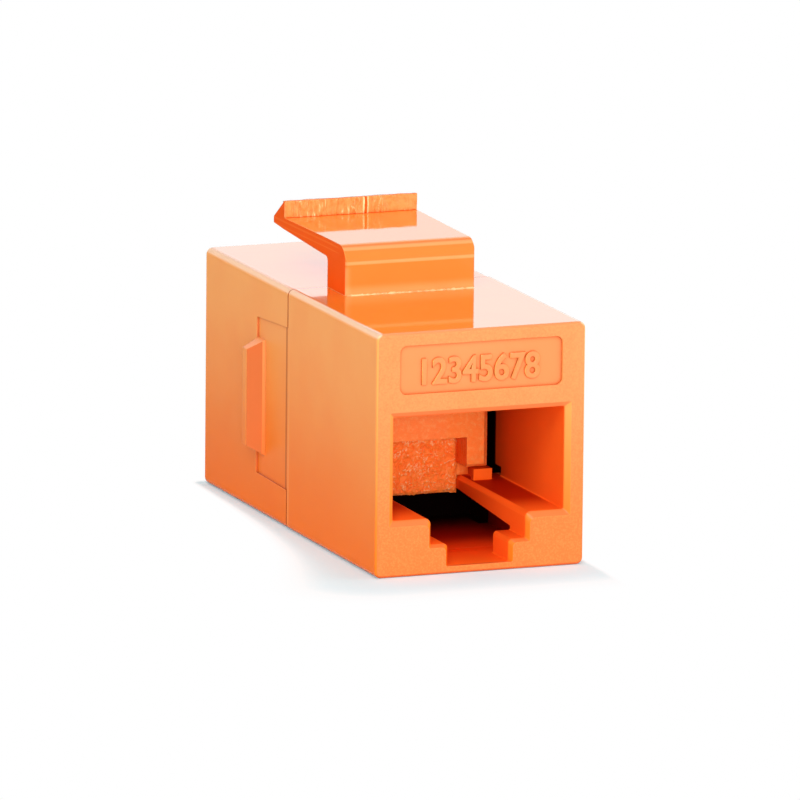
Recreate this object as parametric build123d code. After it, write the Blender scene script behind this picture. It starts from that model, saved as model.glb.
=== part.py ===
from build123d import *
import math
import os

# RJ45 inline coupler: two shell halves that meet at a seam, each with a plug socket, a contact carrier
# and eight spring contacts, joined through one board in the middle.
# Frame: X across the body, Y from the front port (-Y) to the rear port (+Y), Z up from the underside.
# Sizes are in millimetres. In each socket's own frame depth y runs inwards from its port face.

# Body
body_width = 14.5
body_length = 31.9
body_height = 16.1
seam_depth = 16.2           # from the front port face to the seam
rear_inset = 0.05           # the rear half's sides and top stand back from the front half's
long_edge_radius = 0.45
front_edge_radius = 0.2
back_edge_radius = 0.3
seam_chamfer = 0.07
seam_groove_width = 0.18    # narrow groove all round at the seam, in the rear half
seam_groove_depth = 0.3
wall = 1.3                  # side walls beside the plug space
roof_thickness = 1.2
floor_thickness = 0.38
label_wall = 1.7            # front wall above the mouth

# Plug socket
mouth_margin = 5.58         # from the top of the body down to the plug space
ledge_height = 3.7
channel_width = 6.6         # between the two ledges
shelf_front_thickness = 1.48
shelf_back_thickness = 0.7
step_drop = 0.26            # from the ledges' underside down to the clip's steps
notch_width = 4.24
sill_height = 0.5
sill_depth = 4.1
step_depth = 3.0            # behind the steps the plug's clip catches
rim_depth = 0.36
rim_main = 0.36             # how far the mouth opens out at its face
rim_channel = 0.22
rim_step = 0.19
ledge_corner_radius = 0.4
step_corner_radius = 0.3
inner_corner_radius = 0.12
channel_wall = 1.75         # side walls of the space below the ledges
stop_inner = 3.7            # small stop on each ledge, from the middle plane
stop_width = 1.3
stop_height = 0.75
stop_thickness = 0.45
stop_lead = 0.1             # in front of the carrier's posts
stop_stem_inset = 0.35      # of the narrower stem that backs each stop

# Label recess on the front face
label_width = 11.3
label_height = 3.22
label_margin = 0.85         # below the top of the body
label_depth = 0.2
label_corner_radius = 0.45

# Space above and behind the plug
ceiling_thickness = 1.18
pocket_wall = 0.85          # side walls beside the board
pocket_lead = 0.1           # the pocket for the board starts this far before the carrier's rear block
pocket_toe_length = 1.1
pocket_toe_height = 0.6
rib_width = 0.8             # ribs under the roof that hold the carrier down
rib_inset = 0.25
rib_margin = 0.9

# Board in the middle
board_thickness = 1.0
fit_clearance = 0.05        # between pieces that slide together
contact_row_gap = 1.8       # between the two rows of soldered tails
hole_clearance = 0.05

# Fixing of the two halves
tongue_width = 8.0
tongue_thickness = 1.0
tongue_cover = 0.75         # of the roof above the tongue
tongue_reach = 1.6
tongue_root = 1.8
peg_diameter = 0.9
peg_reach = 1.5
peg_height = 1.9
peg_root = 1.0

# Keystone latch on the front half
latch_setback = 0.12        # of the riser's rear face from the seam
latch_riser_thickness = 3.3
latch_riser_width = 9.1
latch_lip_width = 9.4
arm_rise = 3.25             # top of the arm above the body
arm_root_thickness = 1.22
arm_end_thickness = 0.78
arm_length = 10.97          # from the riser's front to the lip's front
latch_bend_radius = 1.15
latch_inner_radius = 0.3
latch_edge_radius = 0.2     # upright front edges of the riser
lip_length = 1.92
lip_rise = 1.12             # above the arm
lip_edge_height = 0.42
lip_edge_drop = 0.22        # top of the lip's rear edge, below the top of the arm

# Side catches in shallow recesses on the rear half
recess_length = 5.8
recess_depth = 0.12
recess_margin = 2.92        # below the top of the body
recess_bottom = 2.7
recess_top_flare = 0.32     # wider again at the seam
recess_bottom_flare = 0.12
catch_reach = 0.98          # beyond the side of the front half
catch_land = 0.78
catch_ramp = 0.52
catch_top_margin = 1.33     # inside the recess
catch_bottom_margin = 1.37
catch_bevel = 0.65

# Contact carrier
carrier_front = 10.6        # face of the posts and the beam, which stops the plug
beam_depth = 1.9
beam_height = 3.92          # below the top of the plug space
rough_wall_bottom = 2.6
post_gap = 0.88             # from the ledge up to the posts
post_width = 1.55
post_bevel = 0.35
post_toe_bevel = 0.2
comb_drop = 0.35            # below the contacts' tips
comb_room = 0.5             # behind them
tray_edge = 0.53            # beside the outermost contacts
tray_front_gap = 0.25

# Contacts
contact_count = 8
contact_pitch = 1.02
contact_diameter = 0.4
contact_run_rise = 0.6      # middle of the wire above the ceiling plates
contact_nose_depth = 3.0
contact_nose_radius = 0.9
contact_slope = 15.0
contact_knee_lead = 1.8     # before the carrier's front
contact_knee_radius = 2.5
contact_tip_reach = 1.1     # into the carrier's comb
contact_jog_radius = 0.5
contact_jog_setback = 1.15  # from the board
contact_tail = 0.75         # beyond the board
slot_clearance = 0.05
seat_clearance = 0.03

# Worked out from the sizes above
port_width = body_width - 2 * wall
half_port = port_width / 2
half_channel = channel_width / 2
half_notch = notch_width / 2
half_below = body_width / 2 - channel_wall
step_height = ledge_height - shelf_front_thickness - step_drop
port_top = body_height - mouth_margin
beam_bottom = port_top - beam_height
recess_top = body_height - recess_margin
rear_depth = body_length - seam_depth
board_near = (body_length - board_thickness) / 2
board_far = board_near + board_thickness
ceiling_top = port_top + ceiling_thickness
roof_under = body_height - roof_thickness
tongue_top = body_height - tongue_cover
tongue_bottom = tongue_top - tongue_thickness
board_top = tongue_bottom - 2 * fit_clearance
latch_riser_depth = seam_depth - latch_setback - latch_riser_thickness
lip_depth = latch_riser_depth + arm_length
arm_top = body_height + arm_rise
recess_end = seam_depth + recess_length
rough_wall_depth = carrier_front + beam_depth
pocket_half = body_width / 2 - pocket_wall
pocket_depth = rough_wall_depth - pocket_lead

contact_radius = contact_diameter / 2
contact_places = [(i - (contact_count - 1) / 2) * contact_pitch for i in range(contact_count)]
contact_run_height = ceiling_top + contact_run_rise
nose_height = contact_run_height - contact_nose_radius
tail_rows = (contact_run_height + contact_row_gap / 2, contact_run_height - contact_row_gap / 2)
jog_back = board_near - contact_jog_setback
jog_front = jog_back - contact_row_gap / 2
slope = math.radians(contact_slope)
slope_start = (
    contact_nose_depth - contact_nose_radius * math.sin(slope),
    nose_height - contact_nose_radius * math.cos(slope),
)
knee_depth = carrier_front - contact_knee_lead
tip_height = slope_start[1] - (knee_depth - slope_start[0]) * math.tan(slope)
tip_depth = carrier_front + contact_tip_reach

slot_width = contact_diameter + 2 * slot_clearance
comb_bottom = tip_height - contact_radius - comb_drop
core_radius = contact_nose_radius - contact_radius - seat_clearance
tray_bottom = nose_height - core_radius
tray_top = contact_run_height + contact_radius
half_tray = contact_places[-1] + contact_radius + tray_edge


def block(x, y, z):
    """Box between pairs of low and high coordinates."""
    size = [high - low for low, high in (x, y, z)]
    centre = [(high + low) / 2 for low, high in (x, y, z)]
    return Pos(*centre) * Box(*size)


def slab_across(outline, x):
    """Side-view outline of (y, z) points, made solid between two x coordinates."""
    face = Plane.YZ * make_face(Polyline(*outline, close=True))
    return Pos(x[0], 0, 0) * extrude(face, amount=x[1] - x[0], dir=(1, 0, 0))


def slab_upwards(outline, height):
    """Plan of (x, y) points, made solid from the underside up to a height."""
    return extrude(make_face(Polyline(*outline, close=True)), amount=height, dir=(0, 0, 1))


def at_depth(face, depth):
    """Front-view face of (x, z) points, placed at a depth."""
    return Pos(0, depth, 0) * (Plane.XZ * face)


def extrude_inwards(face, start, end):
    return extrude(at_depth(face, start), amount=end - start, dir=(0, 1, 0))


def in_front_half(solid):
    """From a socket's own frame to the coupler's, for the front port."""
    return Pos(0, -body_length / 2, 0) * solid


def in_rear_half(solid):
    """The same for the rear port, which looks the other way."""
    return Rot(0, 0, 180) * in_front_half(solid)


def mirrored_face(right_side):
    """Front-view face from the (x, z, radius) corners of its right side, upwards."""
    left_side = [(-x, z, radius) for x, z, radius in reversed(right_side)]
    corners = right_side + left_side
    points = [(x, z) for x, z, _ in corners]
    radii = [radius for _, _, radius in corners]
    return make_face(FilletPolyline(*points, radius=radii, close=True))


# Plug socket
def mouth_face(main, channel, step):
    """Front view of the mouth: plug space, channel between the ledges and notch for the clip.

    main, channel and step say how far the outline is opened out at each level.
    """
    return mirrored_face([
        (half_notch + channel, sill_height, inner_corner_radius),
        (half_notch + channel, step_height - step, step_corner_radius),
        (half_channel + channel, step_height - step, inner_corner_radius),
        (half_channel + channel, ledge_height - main, ledge_corner_radius),
        (half_port + main, ledge_height - main, inner_corner_radius),
        (half_port + main, port_top + main, inner_corner_radius),
    ])


def plug_face():
    """Front view of the plug space and the channel, behind the clip's steps."""
    return mirrored_face([
        (half_channel, step_height, inner_corner_radius),
        (half_channel, ledge_height, ledge_corner_radius),
        (half_port, ledge_height, inner_corner_radius),
        (half_port, port_top, inner_corner_radius),
    ])


def space_below_ledges(depth):
    """Widens the channel below the ledges, whose undersides rise inwards."""
    under_front = ledge_height - shelf_front_thickness
    under_board = ledge_height - shelf_back_thickness
    rise = (under_board - under_front) / (board_near - step_depth)
    side_view = [
        (step_depth, sill_height), (sill_depth, sill_height), (sill_depth, floor_thickness),
        (depth, floor_thickness), (depth, under_front + rise * (depth - step_depth)), (step_depth, under_front),
    ]
    return slab_across(side_view, (-half_below, half_below))


def space_for_carrier(depth):
    """Slot in the ceiling, the space above it, and the pocket for the board, where the ledges end."""
    half_slot = half_tray + fit_clearance
    slot = block((-half_slot, half_slot), (label_wall, depth), (port_top - rim_depth, ceiling_top))
    tray_space = block((-half_port, half_port), (label_wall, depth), (ceiling_top, roof_under))
    pocket = block((-pocket_half, pocket_half), (pocket_depth, depth), (ledge_height, roof_under))
    toe_z = (ledge_height, ledge_height + pocket_toe_height)
    toe = block((-pocket_half, pocket_half), (pocket_depth - pocket_toe_length, depth), toe_z)
    foot_y = (board_near - fit_clearance, board_far + fit_clearance)
    foot_space = block((-half_below, half_below), foot_y, (floor_thickness, ledge_height))
    return slot + tray_space + pocket + toe + foot_space


def socket_space(depth):
    """Everything that one half's inside leaves open, down to that half's seam."""
    face_outline = at_depth(mouth_face(rim_main, rim_channel, rim_step), 0)
    mouth_outline = at_depth(mouth_face(0, 0, 0), rim_depth)
    rim = loft([face_outline, mouth_outline], ruled=True)
    mouth = extrude_inwards(mouth_face(0, 0, 0), rim_depth, step_depth)
    plug_space = extrude_inwards(plug_face(), rim_depth, depth)
    return rim + mouth + plug_space + space_below_ledges(depth) + space_for_carrier(depth)


def inner_details():
    """Ribs under the roof that press on the carrier, and the small stops on the ledges."""
    details = []
    for side in (-1, 1):
        rib_outer = half_port - rib_inset
        rib_x = sorted((side * rib_outer, side * (rib_outer - rib_width)))
        rib_y = (label_wall + rib_margin, rough_wall_depth - rib_margin)
        details.append(block(rib_x, rib_y, (tray_top, roof_under + roof_thickness / 2)))
        stop_x = sorted((side * stop_inner, side * (stop_inner + stop_width)))
        stop_front = carrier_front - stop_lead
        stop_z = (ledge_height - shelf_back_thickness / 2, ledge_height + stop_height)
        details.append(block(stop_x, (stop_front, stop_front + stop_thickness), stop_z))
        stem_x = sorted((side * (stop_inner + stop_stem_inset), side * (stop_inner + stop_width)))
        details.append(block(stem_x, (stop_front, pocket_depth), stop_z))
    return details


def rounded_shell(width, height, depth, face_radius):
    """Outside of one half: rounded long edges and port face, slightly broken edge at the seam."""
    solid = block((-width / 2, width / 2), (0, depth), (0, height))
    solid = fillet(solid.edges().filter_by(Axis.Y), long_edge_radius)
    port_face = solid.faces().sort_by(Axis.Y)[0]
    solid = fillet(port_face.edges(), face_radius)
    seam_face = solid.faces().sort_by(Axis.Y)[-1]
    return chamfer(seam_face.edges(), seam_chamfer)


# Keystone latch
def latch_solid():
    """Riser, arm and lip of the latch, one moulding with the front half."""
    riser_back = latch_riser_depth + latch_riser_thickness
    lip_end = lip_depth + lip_length
    side_view = [
        (latch_riser_depth, body_height - roof_thickness / 2),
        (latch_riser_depth, arm_top),
        (lip_depth, arm_top),
        (lip_depth, arm_top + lip_rise),
        (lip_end, arm_top - lip_edge_drop),
        (lip_end, arm_top - lip_edge_drop - lip_edge_height),
        (lip_depth, arm_top - arm_end_thickness),
        (riser_back, arm_top - arm_root_thickness),
        (riser_back, body_height - roof_thickness / 2),
    ]
    solid = slab_across(side_view, (-latch_lip_width / 2, latch_lip_width / 2))
    bends = {
        (0, latch_riser_depth, arm_top): latch_bend_radius,
        (0, riser_back, arm_top - arm_root_thickness): latch_inner_radius,
    }
    for corner, radius in bends.items():
        solid = fillet(solid.edges().filter_by(Axis.X).sort_by_distance(corner)[0], radius)
    plan = [
        (-latch_riser_width / 2, latch_riser_depth), (latch_riser_width / 2, latch_riser_depth),
        (latch_riser_width / 2, riser_back), (latch_lip_width / 2, lip_depth), (latch_lip_width / 2, lip_end),
        (-latch_lip_width / 2, lip_end), (-latch_lip_width / 2, lip_depth), (-latch_riser_width / 2, riser_back),
    ]
    outline = make_face(Polyline(*plan, close=True))
    outline = fillet(outline.vertices().group_by(Axis.Y)[0], latch_edge_radius)
    return solid & extrude(outline, amount=arm_top + lip_rise, dir=(0, 0, 1))


def label_recess():
    centre_height = body_height - label_margin - label_height / 2
    face = Pos(0, centre_height) * RectangleRounded(label_width, label_height, label_corner_radius)
    return extrude_inwards(face, -label_depth, label_depth)


def tongue(clearance):
    """Flat bar under the roof that lines up the two halves, in the front half's frame."""
    half = tongue_width / 2 + clearance
    start = seam_depth - tongue_reach - 2 * clearance
    end = seam_depth + tongue_root
    return block((-half, half), (start, end), (tongue_bottom - clearance, tongue_top + clearance))


def pegs(clearance):
    """Two round locating pegs low in the side walls, in the front half's frame."""
    offset = body_width / 2 - channel_wall / 2
    reach = peg_reach + 2 * clearance
    length = reach + peg_root
    start = seam_depth - reach
    shape = Rot(-90, 0, 0) * Cylinder(peg_diameter / 2 + clearance, length)
    return [Pos(side * offset, start + length / 2, peg_height) * shape for side in (-1, 1)]


def front_housing():
    solid = rounded_shell(body_width, body_height, seam_depth, front_edge_radius)
    solid += latch_solid()
    solid -= socket_space(seam_depth)
    solid += inner_details()
    solid -= label_recess()
    solid -= tongue(fit_clearance)
    solid -= pegs(fit_clearance)
    return in_front_half(solid)


# Side catches
def catch_recess(side):
    """Shallow pocket around a catch, open to the seam, in the front half's frame."""
    outer = side * (body_width / 2 - rear_inset)
    floor = outer - side * recess_depth
    seam_bottom = recess_bottom - recess_bottom_flare
    seam_top = recess_top + recess_top_flare
    before_seam = seam_depth - 1
    outline = [
        (before_seam, seam_bottom), (seam_depth, seam_bottom), (recess_end, recess_bottom),
        (recess_end, recess_top), (seam_depth, seam_top), (before_seam, seam_top),
    ]
    return slab_across(outline, sorted((floor, outer + side)))


def catch_solid(side):
    """Wedge that holds the panel: a ramp towards the front, a narrow land and a square back."""
    floor = body_width / 2 - rear_inset - recess_depth
    root = floor - recess_depth / 2
    tip = body_width / 2 + catch_reach
    ramp_start = recess_end - catch_land - catch_ramp
    land_start = recess_end - catch_land
    low = recess_bottom + catch_bottom_margin
    high = recess_top - catch_top_margin
    plan = [(root, ramp_start), (floor, ramp_start), (tip, land_start), (tip, recess_end), (root, recess_end)]
    wedge = slab_upwards(plan, high)
    front_view = [
        (root, low), (floor, low), (tip, low + catch_bevel),
        (tip, high - catch_bevel), (floor, high), (root, high),
    ]
    bevels = extrude_inwards(make_face(Polyline(*front_view, close=True)), ramp_start, recess_end)
    solid = wedge & bevels
    return solid if side > 0 else mirror(solid, about=Plane.YZ)


def seam_groove():
    """Narrow groove round the rear half at the seam, in the front half's frame."""
    half = body_width / 2 - rear_inset
    core_half = half - seam_groove_depth
    core_top = body_height - rear_inset - seam_groove_depth
    y = (seam_depth - seam_groove_width, seam_depth + seam_groove_width)
    around = block((-2 * half, 2 * half), y, (-body_height, 2 * body_height))
    return around - block((-core_half, core_half), y, (seam_groove_depth, core_top))


def rear_housing():
    """Built in its own port's frame, then turned to face the rear."""
    width = body_width - 2 * rear_inset
    solid = rounded_shell(width, body_height - rear_inset, rear_depth, back_edge_radius)
    solid -= socket_space(rear_depth)
    solid += inner_details()
    solid = in_rear_half(solid) - in_front_half(seam_groove())
    for side in (-1, 1):
        solid -= in_front_half(catch_recess(side))
        solid += in_front_half(catch_solid(side))
    solid += in_front_half(tongue(0))
    for peg in pegs(0):
        solid += in_front_half(peg)
    return solid


# Contact carrier
def tray_core():
    """What stays of the tray inside the contacts' bends."""
    nose = Pos(0, contact_nose_depth, nose_height) * Rot(0, 90, 0) * Cylinder(core_radius, 2 * half_tray)
    bar_z = (nose_height - core_radius, nose_height + core_radius)
    return nose + block((-half_tray, half_tray), (contact_nose_depth, board_near), bar_z)


def carrier_tray():
    """Plate that the contacts run along, with a rounded nose and side flanges on the ceiling plates."""
    half_flange = half_port - fit_clearance
    tray_x = (-half_tray, half_tray)
    tray = block(tray_x, (label_wall + tray_front_gap, board_near), (tray_bottom, tray_top))
    nose_edge = tray.edges().filter_by(Axis.X).group_by(Axis.Y)[0].sort_by(Axis.Z)[-1]
    tray = fillet(nose_edge, contact_nose_radius)
    flanges = []
    for side in (-1, 1):
        flange_x = sorted((side * half_tray, side * half_flange))
        flanges.append(block(flange_x, (label_wall, rough_wall_depth), (ceiling_top, tray_top)))
    return tray + flanges


def carrier_block():
    """Beam, posts and rough wall that face the plug, and the block behind them against the board."""
    half_inner = half_channel - fit_clearance
    half_post = half_inner + post_width
    half_wide = half_port - fit_clearance
    post_bottom = ledge_height + post_gap
    beam_top = port_top - fit_clearance
    behind_plug = (carrier_front, board_near)
    behind_wall = (rough_wall_depth, board_near)
    beam = block((-half_post, half_post), behind_plug, (beam_bottom, beam_top))
    neck = block((-half_tray, half_tray), behind_plug, (beam_bottom, tray_bottom))
    rough_wall = block((-half_inner, half_inner), behind_wall, (rough_wall_bottom, beam_bottom))
    rear_block = block((-half_wide, half_wide), behind_wall, (beam_top, board_top))
    solid = beam + neck + rough_wall + rear_block
    for side in (-1, 1):
        post_x = sorted((side * half_inner, side * half_post))
        post = block(post_x, behind_plug, (post_bottom, beam_bottom))
        toe = post.edges().filter_by(Axis.X).group_by(Axis.Z)[0].sort_by(Axis.Y)[0]
        post = chamfer(toe, post_toe_bevel)
        foot = block(post_x, behind_wall, (ledge_height, post_bottom))
        solid += [post, foot]
        plan = [
            (side * (half_post - post_bevel), carrier_front), (side * half_post, carrier_front),
            (side * half_post, carrier_front + post_bevel),
        ]
        solid -= Pos(0, 0, post_bottom) * slab_upwards(plan, beam_top - post_bottom)
    return solid


def contact_carrier():
    """Carrier of one port, in that port's own frame, with a slot for each contact."""
    solid = carrier_block() + carrier_tray()
    low_row = tail_rows[1] - contact_radius - seat_clearance
    core = tray_core()
    for index, place in enumerate(contact_places):
        x = (place - slot_width / 2, place + slot_width / 2)
        around_nose = block(x, (label_wall, board_near), (port_top - contact_radius, board_top + 1))
        comb = block(x, (carrier_front - 1, tip_depth + comb_room), (comb_bottom, tray_bottom))
        own_tail = jog_front - contact_diameter
        other_tail = board_near - contact_tail - 2 * fit_clearance
        tail_y = (own_tail if index % 2 else other_tail, board_near)
        solid -= [around_nose - core, comb, block(x, tail_y, (low_row, board_top + 1))]
    return solid


# Contacts
def contact_wire(place, row_height):
    """Round spring wire: soldered tail, run along the tray, bend round its nose, slope into the plug space."""
    with BuildLine(Plane.YZ) as line:
        FilletPolyline(
            (board_far + contact_tail, row_height), (jog_back, row_height),
            (jog_front, contact_run_height), (contact_nose_depth, contact_run_height),
            radius=contact_jog_radius,
        )
        CenterArc((contact_nose_depth, nose_height), contact_nose_radius, 90, 180 - contact_slope)
        FilletPolyline(slope_start, (knee_depth, tip_height), (tip_depth, tip_height), radius=contact_knee_radius)
    path = line.wire()
    section = Plane(origin=path @ 0, z_dir=path % 0) * Circle(contact_radius)
    return Pos(place, 0, 0) * sweep(section, path=path)


# Board
def circuit_board():
    """Board across the middle, in the front port's frame: it stands on the floor between the side walls."""
    half_wide = pocket_half - fit_clearance
    half_foot = half_below - fit_clearance
    y = (board_near, board_far)
    shoulder_height = ledge_height + fit_clearance
    solid = block((-half_wide, half_wide), y, (shoulder_height, board_top))
    solid += block((-half_foot, half_foot), y, (floor_thickness, shoulder_height))
    hole = Rot(-90, 0, 0) * Cylinder(contact_radius + hole_clearance, 2 * board_thickness)
    for place in contact_places:
        for row_height in tail_rows:
            solid -= Pos(place, body_length / 2, row_height) * hole
    return in_front_half(solid)


def main():
    os.makedirs("parts", exist_ok=True)
    nodes = {
        "front_housing": front_housing(),
        "rear_housing": rear_housing(),
        "front_contact_carrier": in_front_half(contact_carrier()),
        "rear_contact_carrier": in_rear_half(contact_carrier()),
        "circuit_board": circuit_board(),
    }
    for index, place in enumerate(contact_places):
        wire = contact_wire(place, tail_rows[index % 2])
        nodes[f"front_contact_{index + 1}"] = in_front_half(wire)
        nodes[f"rear_contact_{index + 1}"] = in_rear_half(wire)
    for name, solid in nodes.items():
        export_step(solid, f"parts/{name}.step")


main()
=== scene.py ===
# %% [markdown]
# An RJ45 inline coupler joins two network leads end to end. Its body is a pair of moulded plastic halves with a
# plug port at each end, a springy latch on top and a small catch on each side that hold it in a panel. This
# notebook dresses the solid model of it: every real piece gets its finish, the fine shapes are added, and a small
# white studio is set up around it.

# %% Load the solid model
import math
import bpy
from mathutils import Matrix, Vector


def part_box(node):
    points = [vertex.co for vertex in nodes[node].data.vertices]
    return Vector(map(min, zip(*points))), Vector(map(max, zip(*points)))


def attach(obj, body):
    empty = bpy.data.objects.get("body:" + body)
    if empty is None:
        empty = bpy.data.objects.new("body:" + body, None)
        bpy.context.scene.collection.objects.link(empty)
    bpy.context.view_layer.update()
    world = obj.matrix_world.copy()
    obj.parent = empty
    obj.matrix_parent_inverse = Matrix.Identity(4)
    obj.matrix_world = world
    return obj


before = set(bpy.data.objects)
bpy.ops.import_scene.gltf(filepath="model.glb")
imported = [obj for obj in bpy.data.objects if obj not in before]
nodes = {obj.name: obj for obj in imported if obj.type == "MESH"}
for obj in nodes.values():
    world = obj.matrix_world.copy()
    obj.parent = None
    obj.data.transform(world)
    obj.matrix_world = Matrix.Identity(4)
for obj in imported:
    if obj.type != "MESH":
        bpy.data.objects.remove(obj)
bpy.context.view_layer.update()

mm = 0.001

# %% [markdown]
# Node maths reads best as plain sums. The small class here stands for a value on its way through a tree of nodes:
# adding or multiplying it places the Math node that does so. Everything else, such as a noise or a bump, comes from
# one method that takes the kind of node, its settings and what goes into its sockets.

# %% Nodes as sums
class Tone:
    """A value in a node tree. Sums on it add Math nodes to its tree."""

    def __init__(self, work, socket):
        self.work = work
        self.socket = socket

    def __add__(self, other):
        return self.work.math("ADD", self, other)

    def __radd__(self, other):
        return self.work.math("ADD", other, self)

    def __sub__(self, other):
        return self.work.math("SUBTRACT", self, other)

    def __rsub__(self, other):
        return self.work.math("SUBTRACT", other, self)

    def __mul__(self, other):
        return self.work.math("MULTIPLY", self, other)

    def __rmul__(self, other):
        return self.work.math("MULTIPLY", other, self)

    def __truediv__(self, other):
        return self.work.math("DIVIDE", self, other)

    def __neg__(self):
        return self.work.math("MULTIPLY", self, -1.0)

    def size(self):
        """Its distance from zero."""
        return self.work.math("ABSOLUTE", self)

    def between(self, low, high):
        """0 below low, 1 above high and smooth between them."""
        settings = {"interpolation_type": "SMOOTHSTEP"}
        return self.work.node("ShaderNodeMapRange", settings, {"Value": self, "From Min": low, "From Max": high})

    def within(self, limit, margin):
        """0 above the limit, and 1 once it is a margin below it."""
        return (limit - self).between(0.0, margin)

    def near(self, centre, full, gone):
        """A soft line: 1 as far as full from the centre, and 0 from gone on."""
        return 1 - (self - centre).size().between(full, gone)


class NodeWork:
    """Places nodes in a tree. Lengths in it are in millimetres, and place is the point in millimetres."""

    def node(self, kind, settings, inputs, output=0):
        """Any node: its settings first, then the values or links of its sockets."""
        made = self.tree.nodes.new(kind)
        for name, value in settings.items():
            setattr(made, name, value)
        for name, value in inputs.items():
            self.feed(made.inputs[name], value)
        return Tone(self, made.outputs[output])

    def feed(self, socket, value):
        """Sets a socket to a value or links it to where the value comes from."""
        if isinstance(value, Tone):
            value = value.socket
        if isinstance(value, bpy.types.NodeSocket):
            self.tree.links.new(value, socket)
        else:
            socket.default_value = value

    def math(self, operation, *values):
        return self.node("ShaderNodeMath", {"operation": operation}, dict(enumerate(values)))

    def vector(self, operation, first, inputs, output=0):
        return self.node("ShaderNodeVectorMath", {"operation": operation}, {0: first, **inputs}, output)

    def split(self, vector):
        made = self.tree.nodes.new("ShaderNodeSeparateXYZ")
        self.feed(made.inputs[0], vector)
        return [Tone(self, socket) for socket in made.outputs]

    def joined(self, x, y, z):
        return self.node("ShaderNodeCombineXYZ", {}, {0: x, 1: y, 2: z})

    def noise(self, scale, detail=2.0, roughness=0.5, stretch=(1, 1, 1), warp=0.0):
        """Soft noise around 0.5, with its scale in waves per millimetre."""
        place = self.vector("MULTIPLY", self.place, {1: stretch})
        inputs = {"Vector": place, "Scale": scale, "Detail": detail, "Roughness": roughness, "Distortion": warp}
        return self.node("ShaderNodeTexNoise", {}, inputs)


# %% [markdown]
# A finish is one material. It knows where a point lies on its piece and which way the surface faces there, both from
# Object coordinates, so that a pattern stays where it is when the piece moves. Sharp edges and tight corners of a
# moulding catch and lose light: the Bevel and Ambient Occlusion nodes find them, with no mask drawn one by one, and
# the colour paints that light in, a painted highlight on edges and painted shade in corners.

# %% Finishes
class Finish(NodeWork):
    """One material: its Principled shader and the nodes that feed it."""

    def __init__(self, name, constants):
        self.material = bpy.data.materials.new(name)
        self.material.use_nodes = True
        self.tree = self.material.node_tree
        self.shader = self.tree.nodes["Principled BSDF"]
        for socket, value in constants.items():
            self.shader.inputs[socket].default_value = value
        places = self.tree.nodes.new("ShaderNodeTexCoord")
        self.place = self.vector("SCALE", places.outputs["Object"], {"Scale": 1 / mm})
        self.facing = self.split(places.outputs["Normal"])
        self.x, self.y, self.z = self.split(self.place)

    def mix(self, amount, first, second):
        """A colour between two colours."""
        settings = {"data_type": "RGBA", "clamp_factor": True}
        return self.node("ShaderNodeMix", settings, {0: amount, 6: first, 7: second}, output=2)

    def bump(self, height, distance, strength=1.0, under=None):
        """Fine relief whose height 1 stands for a distance in millimetres."""
        inputs = {"Height": height, "Distance": distance * mm, "Strength": strength}
        if under is not None:
            inputs["Normal"] = under
        return self.node("ShaderNodeBump", {}, inputs)

    def soft_edges(self, radius):
        """Normals that turn smoothly round each sharp edge, as on a moulding."""
        return self.node("ShaderNodeBevel", {"samples": 6}, {"Radius": radius * mm})

    def crevice(self, reach):
        """1 in tight corners, where little light gets in, and 0 on open surfaces."""
        settings = {"samples": 8}
        open_share = self.node("ShaderNodeAmbientOcclusion", settings, {"Distance": reach * mm}, output="AO")
        return 1 - open_share.between(0.4, 0.92)

    def edge(self, rounded):
        """1 along sharp edges, where the softened normals part from the real ones."""
        flat = self.tree.nodes.new("ShaderNodeNewGeometry").outputs["Normal"]
        alike = self.vector("DOT_PRODUCT", rounded, {1: flat}, output="Value")
        return 1 - alike.between(0.8, 0.99)

    def join(self, share, first, second):
        """Ends the material in two shaders mixed, with a share of the second."""
        mixed = self.tree.nodes.new("ShaderNodeMixShader")
        for slot, value in enumerate((share, first, second)):
            self.feed(mixed.inputs[slot], value)
        self.feed(self.tree.nodes["Material Output"].inputs[0], mixed.outputs[0])

    def matte(self, share, colour, normal):
        """Turns a share of the surface matte: a second shader without any mirror, mixed in."""
        dull = self.tree.nodes.new("ShaderNodeBsdfPrincipled")
        for socket, value in {"Roughness": 1.0, "Specular IOR Level": 0.0, "Base Color": colour,
                              "Normal": normal}.items():
            self.feed(dull.inputs[socket], value)
        self.join(share, self.shader.outputs[0], dull.outputs[0])

    def paint(self, **sockets):
        """Feeds the sockets of the Principled shader."""
        for name, value in sockets.items():
            self.feed(self.shader.inputs[name.replace("_", " ")], value)
        return self


def dress(finish, *names):
    """Puts a finish on solids of the model."""
    for name in names:
        for slot in nodes[name].material_slots:
            slot.material = finish.material
    print(finish.material.name, "on", len(names), "solids")


# %% [markdown]
# Both halves are moulded in one orange plastic. The mould was polished on top, so the roof and the latch mirror what
# is behind them. Its sides came out like satin, and the port's face was spark eroded and has a fine pale grain. One
# material can do all that when it looks at where a point is and which way it faces. So its masks come first: each is
# 1 on one part of the shell and 0 elsewhere. Lengths are millimetres, up from the underside and out from the middle.

# %% Parts of the shell
half_length, body_top, seam_y = 15.95, 16.1, 0.34
shell = Finish("orange_shell", {"IOR": 1.5, "Specular IOR Level": 0.2, "Coat Roughness": 0.02})
x, y, z = shell.x, shell.y, shell.z
out_x, out_y = x.size(), y.size()
facing_side = shell.facing[0].size()

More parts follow.
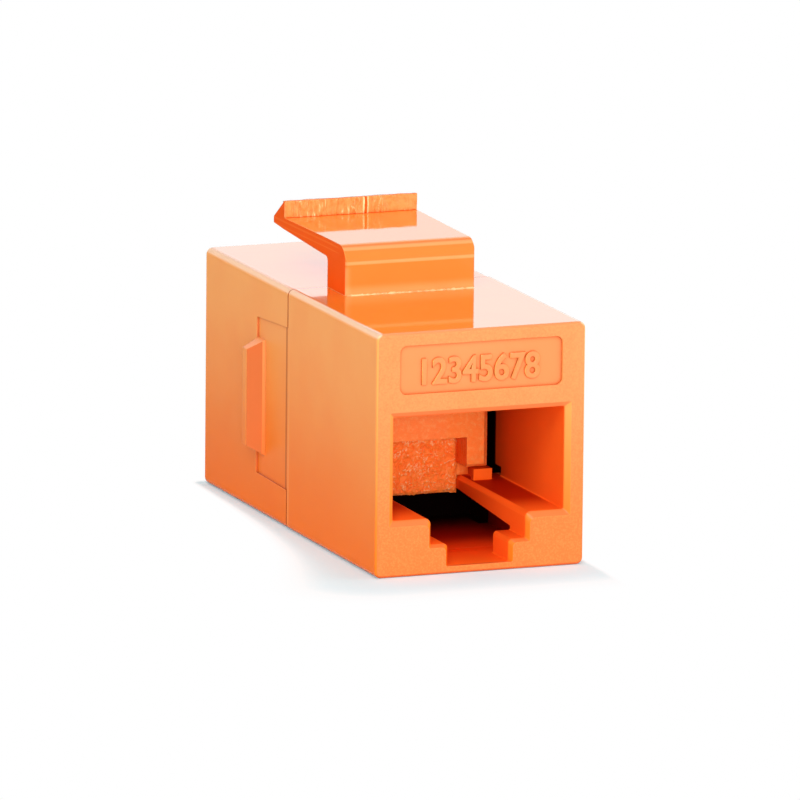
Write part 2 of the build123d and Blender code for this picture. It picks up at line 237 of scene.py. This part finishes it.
port_face = (-shell.facing[1]).between(0.85, 0.97) * (-y).between(15.9, 15.94)
upwards = shell.facing[2].between(0.93, 0.995)
beside = facing_side.between(0.9, 0.99)
sideways = facing_side.between(0.25, 0.6)
latch = z.between(body_top, 16.12)
roof = upwards * z.between(15.5, 15.9)
riser = latch * (1 - beside) * (1 - roof)
catch = out_x.between(7.255, 7.3) * (-shell.facing[1]).between(0.1, 0.3)
pocket = beside * out_x.within(7.19, 0.01) * out_x.between(6.95, 7.0)
seam = y.near(seam_y, 0.08, 0.18) * (1 - latch)
print("masks of", shell.material.name, "take", len(shell.tree.nodes), "nodes")

# %% [markdown]
# The walls are painted paler towards the top, as they see more of the lamps. Front and side are two painted copies
# of the one orange, each matched to the light it gets, the side the more yellow; the slope of the catch is painted
# browner, as painted shade. A mask mixes each colour over what is there already, as a painter's layers.

# %% Colours of the walls
front_low, front_high = (0.90, 0.168, 0.036, 1.0), (0.90, 0.255, 0.088, 1.0)
side_low, side_high = (0.95, 0.195, 0.012, 1.0), (1.0, 0.41, 0.11, 1.0)
catch_shade = (0.64, 0.16, 0.042, 1.0)

# painted light: the walls are paler towards the top
height = z.between(0.0, 16.0)
colour = shell.mix(height, front_low, front_high)
# the side's own painted copy of the orange, matched to the light it gets
colour = shell.mix(sideways, colour, shell.mix(height, side_low, side_high))
# painted shade on the front-facing slope of the catch
colour = shell.mix(catch, colour, catch_shade)
print("with the walls", len(shell.tree.nodes), "nodes")

# %% [markdown]
# The latch is the reddest part, its flat sides most of all. Its riser gets painted highlights: pale bands where the
# bend starts and ends, at its foot and down its left end. The arm's side gets two thin painted highlight lines on
# its upper part. They are light painted into the colour.

# %% Colours of the latch and the roof
latch_orange, latch_side = (1.0, 0.20, 0.028, 1.0), (0.95, 0.115, 0.006, 1.0)
latch_highlight = (1.0, 0.42, 0.16, 1.0)
roof_orange, arm_orange = (1.0, 0.27, 0.02, 1.0), (1.0, 0.30, 0.03, 1.0)

colour = shell.mix(latch, colour, shell.mix(beside, latch_orange, latch_side))
# painted highlights: pale bands at the start and end of the riser's bend, at its foot and down its left end
bands = z.near(18.24, 0.05, 0.16) + z.near(19.13, 0.04, 0.14)
foot_highlight = z.within(16.95, 0.7)
left_end_highlight = (-x).between(4.0, 4.7) * z.within(18.1, 0.3)
colour = shell.mix(0.55 * riser * (bands + 0.8 * foot_highlight + 0.8 * left_end_highlight), colour, latch_highlight)
# painted highlights: two thin pale lines on the upper part of the arm's side
lines = z.near(19.08, 0.03, 0.1) + z.near(18.72, 0.02, 0.07)
colour = shell.mix(lines * beside * latch * y.between(-2.4, -1.2) * 0.55, colour, latch_orange)
colour = shell.mix(roof, colour, shell.mix(latch, roof_orange, arm_orange))
print("with the latch and the roof", len(shell.tree.nodes), "nodes")

# %% [markdown]
# Moulded plastic is never one flat tone. Wide clouds drift through all of it, and the eroded face of the port is
# speckled pale and dark. Sharp edges get a painted highlight, a pale rim, and the long rounded shoulders of the roof
# get a paler painted highlight still.

# %% Clouds, speckles and painted highlights
shoulder_highlight = (1.0, 0.66, 0.42, 1.0)
clouds = shell.noise(0.22, 3.0)
mottle = shell.noise(8.0, 2.0, 0.6)
colour = shell.mix(clouds.between(0.35, 0.75) * 0.12, colour, latch_side)
colour = shell.mix(port_face * mottle.between(0.4, 0.7) * 0.18, colour, side_high)
colour = shell.mix(port_face * mottle.within(0.5, 0.2) * 0.2, colour, front_low)

rounded = shell.soft_edges(0.1)
# tight corners, for painted shade further down; the foot of the latch is mostly left out
shaded_corner = shell.crevice(0.4) * (1 - 0.85 * z.near(body_top, 0.3, 0.5))
# painted highlight: a pale rim along sharp edges
rim = shell.edge(rounded) * (1 - shaded_corner) * (0.4 + 0.4 * latch)
colour = shell.mix(rim, colour, side_high)
# painted highlight on the long rounded shoulders of the roof
lit_shoulder = shell.facing[2].between(0.2, 0.6) * facing_side.between(0.05, 0.35)
lit_shoulder = lit_shoulder * z.between(15.0, 15.4) * (1 - latch)
colour = shell.mix(lit_shoulder * 0.75, colour, shoulder_highlight)
print("with clouds and edges", len(shell.tree.nodes), "nodes")

# %% [markdown]
# Inside the port the light has been thrown from wall to wall, and that is painted in: the orange gets fuller and
# redder. Painted shade makes the tops of the ledges and the far parts of the side walls the deepest red, leaves the
# sill at the mouth lighter, turns tight corners brown and darkens the pocket round the catch.

# %% Colours inside the port
inner_orange, inner_shade_orange = (1.0, 0.145, 0.014, 1.0), (0.46, 0.02, 0.001, 1.0)
sill_orange, painted_shade_brown = (0.95, 0.066, 0.006, 1.0), (0.50, 0.09, 0.012, 1.0)

depth = half_length - out_y
inside = out_x.within(6.05, 0.1) * depth.between(0.2, 0.5) * z.within(10.8, 0.1) * z.between(0.1, 0.3)
flat_parts = shell.mix(z.between(1.0, 1.5), sill_orange, inner_shade_orange)
# painted light: the fuller, redder orange of light thrown from wall to wall inside the port
colour = shell.mix(inside, colour, inner_orange)
# painted shade on up-facing parts inside: deepest on the ledge tops, lighter on the sill
colour = shell.mix(inside * upwards * depth.between(0.5, 5.0), colour, flat_parts)
# painted shade on the far parts of the side walls
colour = shell.mix(inside * beside * depth.between(3.0, 13.0) * 0.7, colour, inner_shade_orange)
# painted shade in tight corners
colour = shell.mix(shaded_corner * 0.75, colour, shell.mix(inside, painted_shade_brown, latch_side))
# painted shade in the pocket round the catch
colour = shell.mix(shell.crevice(1.4) * pocket * 0.4, colour, painted_shade_brown)
print("with the inside of the port", len(shell.tree.nodes), "nodes")

# %% [markdown]
# The real groove of the seam between the halves gets a thin brown line of painted shade, with a painted highlight on
# the rim in front of it, and the pocket round the catch has such a painted shadow line at its end. Deep under the
# ledges next to no light gets back out. Lamps alone could show that, but a render throws more light from wall to
# wall than real plastic does, so painted shade makes the colour fall off to black further in, and in the nook by the
# posts.

# %% Seam, pocket and the painted shade under the ledges
deep_red, unlit = (0.26, 0.006, 0.0004, 1.0), (0.006, 0.0005, 0.0003, 1.0)

# painted highlight on the rim in front of the seam
lit_rim = y.near(0.0, 0.06, 0.2) * beside * (1 - latch)
pocket_end_shadow = y.near(0.85, 0.06, 0.2) * pocket
colour = shell.mix(lit_rim * 0.5, colour, side_high)
# painted shade along the seam's real groove and at the end of the pocket
colour = shell.mix(seam + 0.7 * pocket_end_shadow, colour, painted_shade_brown)
# painted shade: the dark deep under the ledges
under = z.within(2.12 + 0.06 * depth, 0.12) * inside
# painted shade: black in the nook beside the posts, where no light reaches
nook = out_x.between(4.8, 4.85) * out_x.within(6.6, 0.1) * depth.between(12.15, 12.45) * z.within(14.8, 0.1)
colour = shell.mix(under * depth.between(4.2, 9.5), colour, deep_red)
colour = shell.mix(under * depth.between(8.5, 15.0), colour, unlit)
colour = shell.mix(nook, colour, unlit)
print("with seam and shade", len(shell.tree.nodes), "nodes")

# %% [markdown]
# Gloss comes last. The polished roof has a clear coat and so has half of the riser, the sides and the port's inner
# walls are partly matte, and the relief is grain on the port's face and slow waves everywhere else. The coat leaves
# out the roof's right end of the seam, where a mirror would hide the line.

# %% Gloss and relief of the shell
grain = shell.noise(5.5, 3.0, 0.6)
waves = shell.noise(1.6, 3.0)
relief = grain * (0.02 + 0.05 * beside + 0.93 * port_face) + 0.08 * waves
normal = shell.bump(relief, 0.035, 1.0, rounded)
dull = shell.math("MAXIMUM", latch * beside, catch) * 0.4 + 0.45 * beside + 0.4 * riser
shell.matte(shell.math("MAXIMUM", 0.85 * inside, dull), colour, normal)
roughness = 0.12 + 0.04 * clouds - 0.08 * roof + 0.17 * beside + 0.3 * port_face
roughness = roughness + under * depth.between(4.0, 8.0) * 0.5
coat = ((0.85 - 0.35 * latch) * roof + 0.5 * riser) * (1 - seam * x.between(4.7, 4.8))
shell.paint(Base_Color=colour, Roughness=roughness, Normal=normal, Coat_Weight=coat)
print(shell.material.name, "has", len(shell.tree.nodes), "nodes")
dress(shell, "front_housing", "rear_housing")

# %% [markdown]
# The carriers behind the plug are the same plastic out of a coarser mould: a grain all over that glints. Sharp edges
# get a painted highlight, and tight corners and the posts' sides that face each other get painted shade. The nook
# beside the posts, which no light reaches, is painted nearly black, as the shell is there.

# %% Carrier plastic
def carrier_plastic():
    constants = {"IOR": 1.5, "Specular IOR Level": 0.2, "Coat Weight": 0.3, "Coat Roughness": 0.1}
    finish = Finish("orange_carrier", constants)
    out = finish.x.size()
    clouds = finish.noise(0.5, 3.0)
    grain = finish.noise(5.0, 3.0, 0.6)
    mottle = finish.noise(3.0, 4.0, 0.7)
    rounded = finish.soft_edges(0.08)
    colour = finish.mix(clouds.between(0.3, 0.75) * 0.5, (1.0, 0.25, 0.045, 1.0), (1.0, 0.21, 0.034, 1.0))
    colour = finish.mix(mottle.between(0.45, 0.7) * 0.6, colour, side_high)
    # painted highlight along sharp edges
    colour = finish.mix(finish.edge(rounded) * 0.5, colour, side_high)
    # painted shade in tight corners
    colour = finish.mix(finish.crevice(0.5) * 0.7, colour, latch_side)
    # painted shade on the posts' sides that face each other
    shaded_post_sides = finish.facing[0].size().between(0.8, 0.95) * out.within(3.5, 0.05)
    colour = finish.mix(0.85 * shaded_post_sides, colour, latch_side)
    # painted shade: the nook beside the posts, nearly black
    nook = out.between(4.84, 4.94) * (half_length - finish.y.size()).between(11.6, 12.2)
    colour = finish.mix(nook, colour, unlit)
    normal = finish.bump(grain, 0.1, 1.0, rounded)
    return finish.paint(Base_Color=colour, Roughness=0.26 + 0.15 * grain, Normal=normal)


dress(carrier_plastic(), "front_contact_carrier", "rear_contact_carrier")

# %% [markdown]
# Where plastic tore as it left the mould, it is glossy in the hollows and whitened along its creases; the whitening
# is partly a painted highlight for the glints of the creases. The skins made further down store how much of a crease
# each point is, and this finish reads that. Below zero it stands for a crack, which gets painted shade, and tight
# hollows get painted shade too.

# %% Torn plastic
def torn_plastic():
    constants = {"IOR": 1.5, "Specular IOR Level": 0.25, "Coat Weight": 0.3, "Coat Roughness": 0.05}
    finish = Finish("orange_torn", constants)
    crease = finish.node("ShaderNodeAttribute", {"attribute_name": "crease"}, {}, output="Fac")
    speckle = finish.noise(5.5, 3.0, 0.6)
    mottle = finish.noise(2.6, 3.0, 0.6)
    wall_orange, lip_orange, whitened = (1.0, 0.255, 0.04, 1.0), (0.96, 0.285, 0.075, 1.0), (1.0, 0.76, 0.38, 1.0)
    colour = finish.mix(finish.z.between(15.0, 16.0), wall_orange, lip_orange)
    colour = finish.mix(mottle.between(0.4, 0.7) * 0.4, colour, latch_side)
    # painted shade in tight hollows
    colour = finish.mix(finish.crevice(0.3) * 0.6, colour, latch_side)
    # whitened creases: partly whitening of torn plastic, partly a painted highlight for their glints
    colour = finish.mix(crease * 0.8, colour, whitened)
    # painted shade in the crack
    colour = finish.mix(-crease, colour, latch_side)
    normal = finish.bump(speckle, 0.03)
    return finish.paint(Base_Color=colour, Roughness=0.34 - 0.2 * crease, Normal=normal)


torn = torn_plastic()
print(torn.material.name, "has", len(torn.tree.nodes), "nodes")

# %% [markdown]
# The board is coated black, with the weave of its glass cloth showing faintly in the gloss. Its near-black colour is
# partly painted shade, for the dark deep in the port. A weave is two sets of waves that cross, so one Wave node
# times another gives it.

# %% Black board
def board_laminate():
    finish = Finish("black_board", {"Specular IOR Level": 0.04})
    clouds = finish.noise(0.8, 3.0)
    threads = {"Vector": finish.place, "Scale": 1.6}
    weave = finish.node("ShaderNodeTexWave", {"bands_direction": "X"}, threads)
    cross = finish.node("ShaderNodeTexWave", {"bands_direction": "Z"}, threads)
    # near-black: the board's coat, and partly painted shade for the dark deep in the port
    colour = finish.mix(clouds, (0.002, 0.0004, 0.0003, 1), (0.004, 0.0008, 0.0006, 1))
    normal = finish.bump(weave * cross, 0.01, 0.5)
    return finish.paint(Base_Color=colour, Roughness=0.6 + 0.15 * clouds, Normal=normal)


dress(board_laminate(), "circuit_board")

# %% [markdown]
# The contacts are phosphor-bronze spring wire plated with gold. Drawn wire carries fine lines along its length: a
# noise that is stretched that way.

# %% Gold wire
def contact_metal():
    finish = Finish("gold_wire", {"Metallic": 1.0})
    lines = finish.noise(9.0, 2.0, 0.5, stretch=(1.0, 0.12, 1.0))
    tarnish = finish.noise(0.6, 3.0)
    colour = finish.mix(tarnish.between(0.45, 0.8), (0.95, 0.70, 0.32, 1), (0.80, 0.50, 0.20, 1))
    normal = finish.bump(lines, 0.004, 0.6)
    return finish.paint(Base_Color=colour, Roughness=0.22 + 0.12 * lines, Normal=normal)


dress(contact_metal(), *[f"{end}_contact_{i}" for end in ("front", "rear") for i in range(1, 9)])

# %% [markdown]
# Some shapes repeat or follow a rule, and Geometry Nodes make those. Each tree here has named sizes, ends in Realize
# Instances and Set Material, and is run once: its result becomes a plain mesh and the modifier goes.

# %% Shapes that follow a rule
class Pattern(NodeWork):
    """A Geometry Nodes tree whose sizes are named inputs, in millimetres or plain numbers."""

    kinds = {float: "NodeSocketFloat", int: "NodeSocketInt"}

    def __init__(self, name, **sizes):
        self.sizes = sizes
        self.tree = bpy.data.node_groups.new(name, "GeometryNodeTree")
        self.sockets = {}
        for size, value in sizes.items():
            kind = self.kinds[type(value)]
            self.sockets[size] = self.tree.interface.new_socket(size, in_out="INPUT", socket_type=kind).identifier
        self.tree.interface.new_socket("Geometry", in_out="OUTPUT", socket_type="NodeSocketGeometry")
        self.given = self.tree.nodes.new("NodeGroupInput")
        self.place = self.node("GeometryNodeInputPosition", {}, {})
        self.x, self.y, self.z = self.split(self.place)

    def __getitem__(self, size):
        return Tone(self, self.given.outputs[size])

    def marked(self, shape, crease):
        """The shape with how much of a crease each point is, for its finish."""
        settings = {"data_type": "FLOAT", "domain": "POINT"}
        inputs = {"Geometry": shape, "Name": "crease", "Value": crease}
        return self.node("GeometryNodeStoreNamedAttribute", settings, inputs)

    def moved(self, shape, x, y, z):
        """The shape with each point moved."""
        return self.node("GeometryNodeSetPosition", {}, {"Geometry": shape, "Offset": self.joined(x, y, z)})

    def placed(self, shape, x, y, z):
        """The shape at its place on the object."""
        return self.node("GeometryNodeTransform", {}, {"Geometry": shape, "Translation": (x, y, z)})

    def finish_with(self, shape, finish):
        """Ends the tree: smooth shading, metres, instances made real, material."""
        smooth = self.node("GeometryNodeSetShadeSmooth", {}, {"Geometry": shape})
        small = self.node("GeometryNodeTransform", {}, {"Geometry": smooth, "Scale": (mm, mm, mm)})
        real = self.node("GeometryNodeRealizeInstances", {}, {"Geometry": small})
        dressed = self.node("GeometryNodeSetMaterial", {}, {"Geometry": real, "Material": finish.material})
        result = self.tree.nodes.new("NodeGroupOutput")
        self.feed(result.inputs[0], dressed)

    def run(self, name, slot):
        """Runs the tree once and keeps its result as a plain mesh that rides on the object."""
        empty = bpy.data.meshes.new(name)
        piece = bpy.data.objects.new(name, empty)
        bpy.context.collection.objects.link(piece)
        modifier = piece.modifiers.new("pattern", "NODES")
        modifier.node_group = self.tree
        for size, value in self.sizes.items():
            modifier[self.sockets[size]] = value
        graph = bpy.context.evaluated_depsgraph_get()
        mesh = bpy.data.meshes.new_from_object(piece.evaluated_get(graph), depsgraph=graph)
        piece.modifiers.clear()
        piece.data = mesh
        mesh.name = name
        bpy.data.meshes.remove(empty)
        return add_piece(piece)


def add_piece(piece):
    """Makes a finished piece part of the object."""
    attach(piece, "root")
    print(piece.name, len(piece.data.polygons), "faces")
    return piece


# %% [markdown]
# The front of the latch's lip is full of upright wrinkles, and behind the plug space one wall is crumpled all over.
# A bump in the finish would look flat from the side, so a thin skin with real relief lies on each of these faces. It
# starts as a box with many points, and noise moves the points of its front.

# %% Skins with relief
def skin(name, width, height, thickness, step):
    """Start of a skin: a box across X and Z with points a step apart, and how far each point is at its front."""
    pattern = Pattern(name, Width=width, Height=height, Thickness=thickness, Step=step)
    size = pattern.joined(pattern["Width"], pattern["Thickness"], pattern["Height"])
    across = pattern["Width"] / pattern["Step"]
    upwards = pattern["Height"] / pattern["Step"]
    inputs = {"Size": size, "Vertices X": across, "Vertices Y": 2, "Vertices Z": upwards}
    box = pattern.node("GeometryNodeMeshCube", {}, inputs)
    front = (-pattern.y / pattern["Thickness"]).between(0.4, 0.5)
    return pattern, box, front


# %% [markdown]
# The crumpled wall is the carrier's front, seen through the port. Lumps come from one noise, and ridges from the
# places where another passes its middle value. The highest ridges are whitened creases, whose whitening is also a
# painted highlight for their glints. The lower edge of the wall sags unevenly, and the relief gets lower towards all
# edges, so that the skin joins the solid.

# %% Rough wall behind the plug
def rough_wall(name, width, bottom, top, front_y):
    height, thickness, sunk = top - bottom, 0.4, 0.06
    pattern, box, front = skin(name, width, height, thickness, 0.045)
    lumps = pattern.noise(1.6, 3.0, 0.6, warp=0.6)
    ridges = 1 - 2 * (pattern.noise(2.3, 2.0, 0.5, warp=1.2) - 0.5).size()
    # how much of a crease: whitened by the finish, partly as a painted highlight
    crease = ridges.between(0.955, 1.0) * pattern.noise(1.3, 2.0).between(0.44, 0.54)
    crumple = ridges.between(0.7, 1.0) * 0.12 + lumps * 0.2
    off_edges = pattern.x.size().within(width / 2, 0.2) * pattern.z.size().within(height / 2, 0.2)
    relief = front * crumple * (0.3 + 0.7 * off_edges)
    lower_edge = (-pattern.z / (height / 2)).between(0.85, 1.0)
    sag = lower_edge * (pattern.noise(1.4, 3.0) - 0.5) * 0.55
    shape = pattern.moved(pattern.marked(box, crease), 0.0, -relief, sag)
    shape = pattern.placed(shape, 0.0, front_y + thickness / 2 - sunk, (bottom + top) / 2)
    pattern.finish_with(shape, torn)
    return pattern.run(name, "carrier_plastic")


port_depth = 12.5
rough_wall("rough_wall", 6.48, 2.62, 6.6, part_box("front_housing")[0].y / mm + port_depth)

# %% [markdown]
# The wrinkles of the lip run upright, which a noise gives when it is stretched that way. They calm down at the
# right, and one crack stands right of the middle, darkened with painted shade and with a whitened rim that is partly
# a painted highlight. The lip's top edge is a little ragged.

# %% Wrinkled lip of the latch
def wrinkled_lip(width, height, front_y, bottom):
    thickness, sunk, above_arm = 0.3, 0.03, 0.01
    pattern, box, front = skin("wrinkled_lip", width, height, thickness, 0.035)
    folds = 1 - 2 * (pattern.noise(1.1, 3.0, 0.55, stretch=(1.0, 1.0, 0.22), warp=0.9) - 0.5).size()
    fine = pattern.noise(4.0, 3.0, 0.6, stretch=(1.0, 1.0, 0.5))
    off_crack = (pattern.x - 1.0 - 0.08 * pattern.noise(2.5)).size()
    crack = 1 - off_crack.between(0.03, 0.09)
    calm = 1 - 0.7 * pattern.x.between(2.0, 3.0)
    # how much of a crease: whitened by the finish, partly as a painted highlight; the crack gets painted shade
    crease = folds.between(0.95, 1.0) * calm * pattern.noise(1.6, 2.0).between(0.45, 0.62) * 0.8
    crease = crease + off_crack.near(0.15, 0.03, 0.08) * 0.9 - 2 * crack
    relief = front * (folds.between(0.7, 1.0) * 0.11 * calm + 0.05 * fine - 0.12 * crack)
    ragged = pattern.z.between(0.3, 0.55) * (pattern.noise(0.9, 3.0) - 0.62) * 0.12
    shape = pattern.moved(pattern.marked(box, crease), 0.0, -relief, ragged)
    shape = pattern.placed(shape, 0.0, front_y + thickness / 2 - sunk, bottom + above_arm + height / 2)
    pattern.finish_with(shape, torn)
    return pattern.run("wrinkled_lip", "shell_plastic")


arm_top, lip_front = 19.35, 7.8
wrinkled_lip(9.38, 1.1, lip_front, arm_top)

# %% [markdown]
# Along the foot of the riser the mould left a thin torn line of flash that catches the light; its whitened colour is
# partly a painted highlight for that light. It is a tube along a wandering curve whose thickness changes with a
# noise, so that chips seem to be missing.

# %% Flash along the riser
def flash_line(riser_front):
    pattern = Pattern("flash_line", Length=8.9, Thickness=0.1, Points=260)
    half = pattern["Length"] / 2
    start, end = (pattern.joined(x, riser_front, body_top) for x in (-half, half))
    line = pattern.node("GeometryNodeCurvePrimitiveLine", {}, {"Start": start, "End": end})
    points = pattern.node("GeometryNodeResampleCurve", {}, {"Curve": line, "Count": pattern["Points"]})
    # how much of a crease: whitened by the finish, partly as a painted highlight
    torn_line = pattern.marked(points, 0.25 + 0.5 * pattern.noise(2.2, 3.0).between(0.35, 0.6))
    bent = pattern.moved(torn_line, 0.0, (pattern.noise(1.8, 3.0, 0.6) - 0.5) * 0.07, 0.0)
    chips = (pattern.noise(3.5, 2.0, 0.6) * 1.3).between(0.3, 1.0) + 0.25
    ring = pattern.node("GeometryNodeCurvePrimitiveCircle", {}, {"Resolution": 8, "Radius": pattern["Thickness"]})
    tube = {"Curve": bent, "Profile Curve": ring, "Scale": chips, "Fill Caps": True}
    pattern.finish_with(pattern.node("GeometryNodeCurveToMesh", {}, tube), torn)
    return pattern.run("flash_line", "shell_plastic")


flash_line(-3.17)

# %% [markdown]
# The label recess carries plain raised numbers, 1 to 8 for the eight contacts, in place of any lettering. They are
# one line of text turned into a mesh, fitted to the label's width and height, and rounded at their rims as moulded
# figures are.

# %% Numbers on the label
def label_numbers(text, centre, size, proud, rim):
    """Raised figures that stand upright on the label floor and face the front."""
    figures = bpy.data.curves.new("label_numbers", "FONT")
    figures.body = text
    figures.align_x = "CENTER"
    figures.align_y = "CENTER"
    figures.extrude = proud / 2 - rim
    figures.bevel_depth = rim
    figures.bevel_resolution = 3
    figures.size = 2.6
    shown = bpy.data.objects.new("label_numbers", figures)
    bpy.context.collection.objects.link(shown)
    graph = bpy.context.evaluated_depsgraph_get()
    mesh = bpy.data.meshes.new_from_object(shown.evaluated_get(graph), depsgraph=graph)
    bpy.data.objects.remove(shown)
    low, high = (Vector([pick(point.co[i] for point in mesh.vertices) for i in range(3)]) for pick in (min, max))
    print("figures as set", tuple(high - low))
    mesh.transform(Matrix.Translation(-(low + high) / 2))
    fit = Matrix.Diagonal((size[0] / (high.x - low.x), size[1] / (high.y - low.y), 1.0, 1.0))
    upright = Matrix.Rotation(math.radians(90), 4, "X")
    mesh.transform(Matrix.Scale(mm, 4) @ Matrix.Translation(centre) @ upright @ fit)
    mesh.materials.clear()
    mesh.materials.append(shell.material)
    piece = bpy.data.objects.new("label_numbers", mesh)
    bpy.context.collection.objects.link(piece)
    return add_piece(piece)


label_centre, label_size = (0.0, -15.81, 13.45), (8.2, 1.85)
label_numbers("12345678", label_centre, label_size, proud=0.2, rim=0.07)

# %% [markdown]
# The studio is a white floor under large soft lamps. For the camera alone the floor glows white, so that the
# background is white without more light on the object. Close to the body it glows less, and the shadow stays: in
# front, and to the left, where it narrows towards the back. On the right and behind, the glow is back within about
# a millimetre and paints the shadow out. Near the body the glow is tinted towards blue, because the object throws
# orange light on the floor beside it.

# %% Floor
def white_floor(near_glow, beside_body, beyond_body):
    finish = Finish("white_floor", {"Roughness": 1.0, "Specular IOR Level": 0.0})
    white, paint_white, shade_tint = (1, 1, 1, 1), (0.9, 0.9, 0.9, 1), (0.49, 0.80, 0.88, 1)
    path = finish.tree.nodes.new("ShaderNodeLightPath")
    seen = Tone(finish, path.outputs["Is Camera Ray"])
    inwards = finish.y + 20
    # the glow comes back within about a millimetre on the right and behind, painting out the shadow there
    left = finish.math("MAXIMUM", (-finish.x - beside_body) * (inwards * inwards * 0.008 + 0.9), 0.0)
    right = finish.math("MAXIMUM", (finish.x - beside_body) * 12.0, 0.0)
    along = finish.math("MAXIMUM", finish.y.size() - beyond_body, (finish.y - beyond_body) * 8.0)
    along = finish.math("MAXIMUM", along, 0.0)
    apart = finish.math("SQRT", left * left + right * right + along * along).between(0.5, 8.0)
    finish.paint(Base_Color=finish.mix(seen, paint_white, white))
    glow = finish.tree.nodes.new("ShaderNodeEmission")
    finish.feed(glow.inputs["Color"], finish.mix(apart * 1.5, shade_tint, white))
    finish.join(seen * (near_glow + (1 - near_glow) * apart), finish.shader.outputs[0], glow.outputs[0])
    return finish.material


floor_mesh = bpy.data.meshes.new("floor")
reach, below = 2.0, -0.02 * mm
corners = [(-reach, -reach, below), (reach, -reach, below), (reach, reach, below), (-reach, reach, below)]
floor_mesh.from_pydata(corners, [], [(0, 1, 2, 3)])
floor = bpy.data.objects.new("floor", floor_mesh)
bpy.context.collection.objects.link(floor)
floor.data.materials.append(white_floor(near_glow=0.34, beside_body=7.3, beyond_body=16.0))
print("floor", tuple(floor.dimensions))

# %% [markdown]
# Seven soft boxes stand round the object, large and weak, so that its colours come out about as they are written.
# Mirror-like surfaces show only the three behind, high on the left and above. The roof seen from behind would
# mirror the others and turn white. Each lamp has its place, its size in metres and its power, and aims at the middle
# of the body.

# %% Lamps
lamps = {
    "back_softbox": ((0.0, 0.50, 0.18), (1.0, 0.34), 0.36),
    "left_softbox": ((-0.65, -0.05, 0.25), (0.6, 0.4), 0.7),
    "front_softbox": ((0.12, -0.75, 0.11), (1.0, 0.2), 3.9),
    "front_left_softbox": ((-0.33, -0.68, 0.17), (0.4, 0.3), 1.9),
    "high_left_softbox": ((-0.32, -0.50, 0.50), (0.35, 0.35), 2.5),
    "right_softbox": ((0.65, -0.25, 0.25), (0.6, 0.4), 2.3),
    "top_softbox": ((0.0, 0.10, 0.75), (0.5, 0.5), 1.5),
}
mirrored = ("back_softbox", "high_left_softbox", "top_softbox")
aim = Vector((0.0, 0.0, 0.01))


def softbox(name, place, size, power):
    light = bpy.data.lights.new(name, "AREA")
    light.shape = "RECTANGLE"
    light.size, light.size_y = size
    light.energy = power
    lamp = bpy.data.objects.new(name, light)
    lamp.location = place
    lamp.rotation_euler = (aim - Vector(place)).to_track_quat("-Z", "Y").to_euler()
    lamp.visible_camera = False
    lamp.visible_glossy = name in mirrored
    bpy.context.collection.objects.link(lamp)


for name, (place, size, power) in lamps.items():
    softbox(name, place, size, power)
print(len(lamps), "lamps,", len(mirrored), "of them mirrored")

# %% [markdown]
# All round and above, the world is white for the camera and in mirror-like surfaces, and nearly dark for all other
# light, so that it adds next to nothing to what the lamps give.

# %% White surroundings
world = bpy.data.worlds.new("white_surroundings")
world.use_nodes = True
air = NodeWork()
air.tree = world.node_tree
path = air.tree.nodes.new("ShaderNodeLightPath")
seen = air.math("MAXIMUM", path.outputs["Is Camera Ray"], path.outputs["Is Glossy Ray"])
level = air.node("ShaderNodeMapRange", {}, {"Value": seen, "To Min": 0.03, "To Max": 1.0})
background = air.tree.nodes["Background"]
air.feed(background.inputs["Strength"], level)
air.feed(background.inputs["Color"], (1, 1, 1, 1))
scene = bpy.context.scene
scene.world = world
scene.view_settings.view_transform = "Standard"
print("world", world.name)

# %% [markdown]
# The camera stands where the photographer's stood, far away with a long lens: the fitted angles and distance come
# from the body's edges in the picture. The fit measures from the middle of the port face's lower edge, along the
# picture's own directions.

# %% Camera
azimuth, elevation, roll = (math.radians(angle) for angle in (-21.374, 11.548, 0.581))
off_right, off_up, away = 5.145 * mm, -11.134 * mm, 861.255 * mm
focal_share, sensor = 13280.9 / 800, 36.0

look = Vector((-math.sin(azimuth) * math.cos(elevation),
               math.cos(azimuth) * math.cos(elevation),
               -math.sin(elevation)))
level_right = Vector((math.cos(azimuth), math.sin(azimuth), 0.0))
level_up = level_right.cross(look)
right = math.cos(roll) * level_right + math.sin(roll) * level_up
up = math.cos(roll) * level_up - math.sin(roll) * level_right
port_face_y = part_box("front_housing")[0].y
lens = bpy.data.cameras.new("camera")
lens.sensor_width = sensor
lens.lens = sensor * focal_share
lens.clip_start = 0.01
camera = bpy.data.objects.new("camera", lens)
stand = Vector((0.0, port_face_y, 0.0)) - off_right * right - off_up * up - away * look
camera.matrix_world = Matrix.Translation(stand) @ Matrix((right, up, -look)).transposed().to_4x4()
bpy.context.collection.objects.link(camera)
scene.camera = camera
print("camera at", tuple(stand))
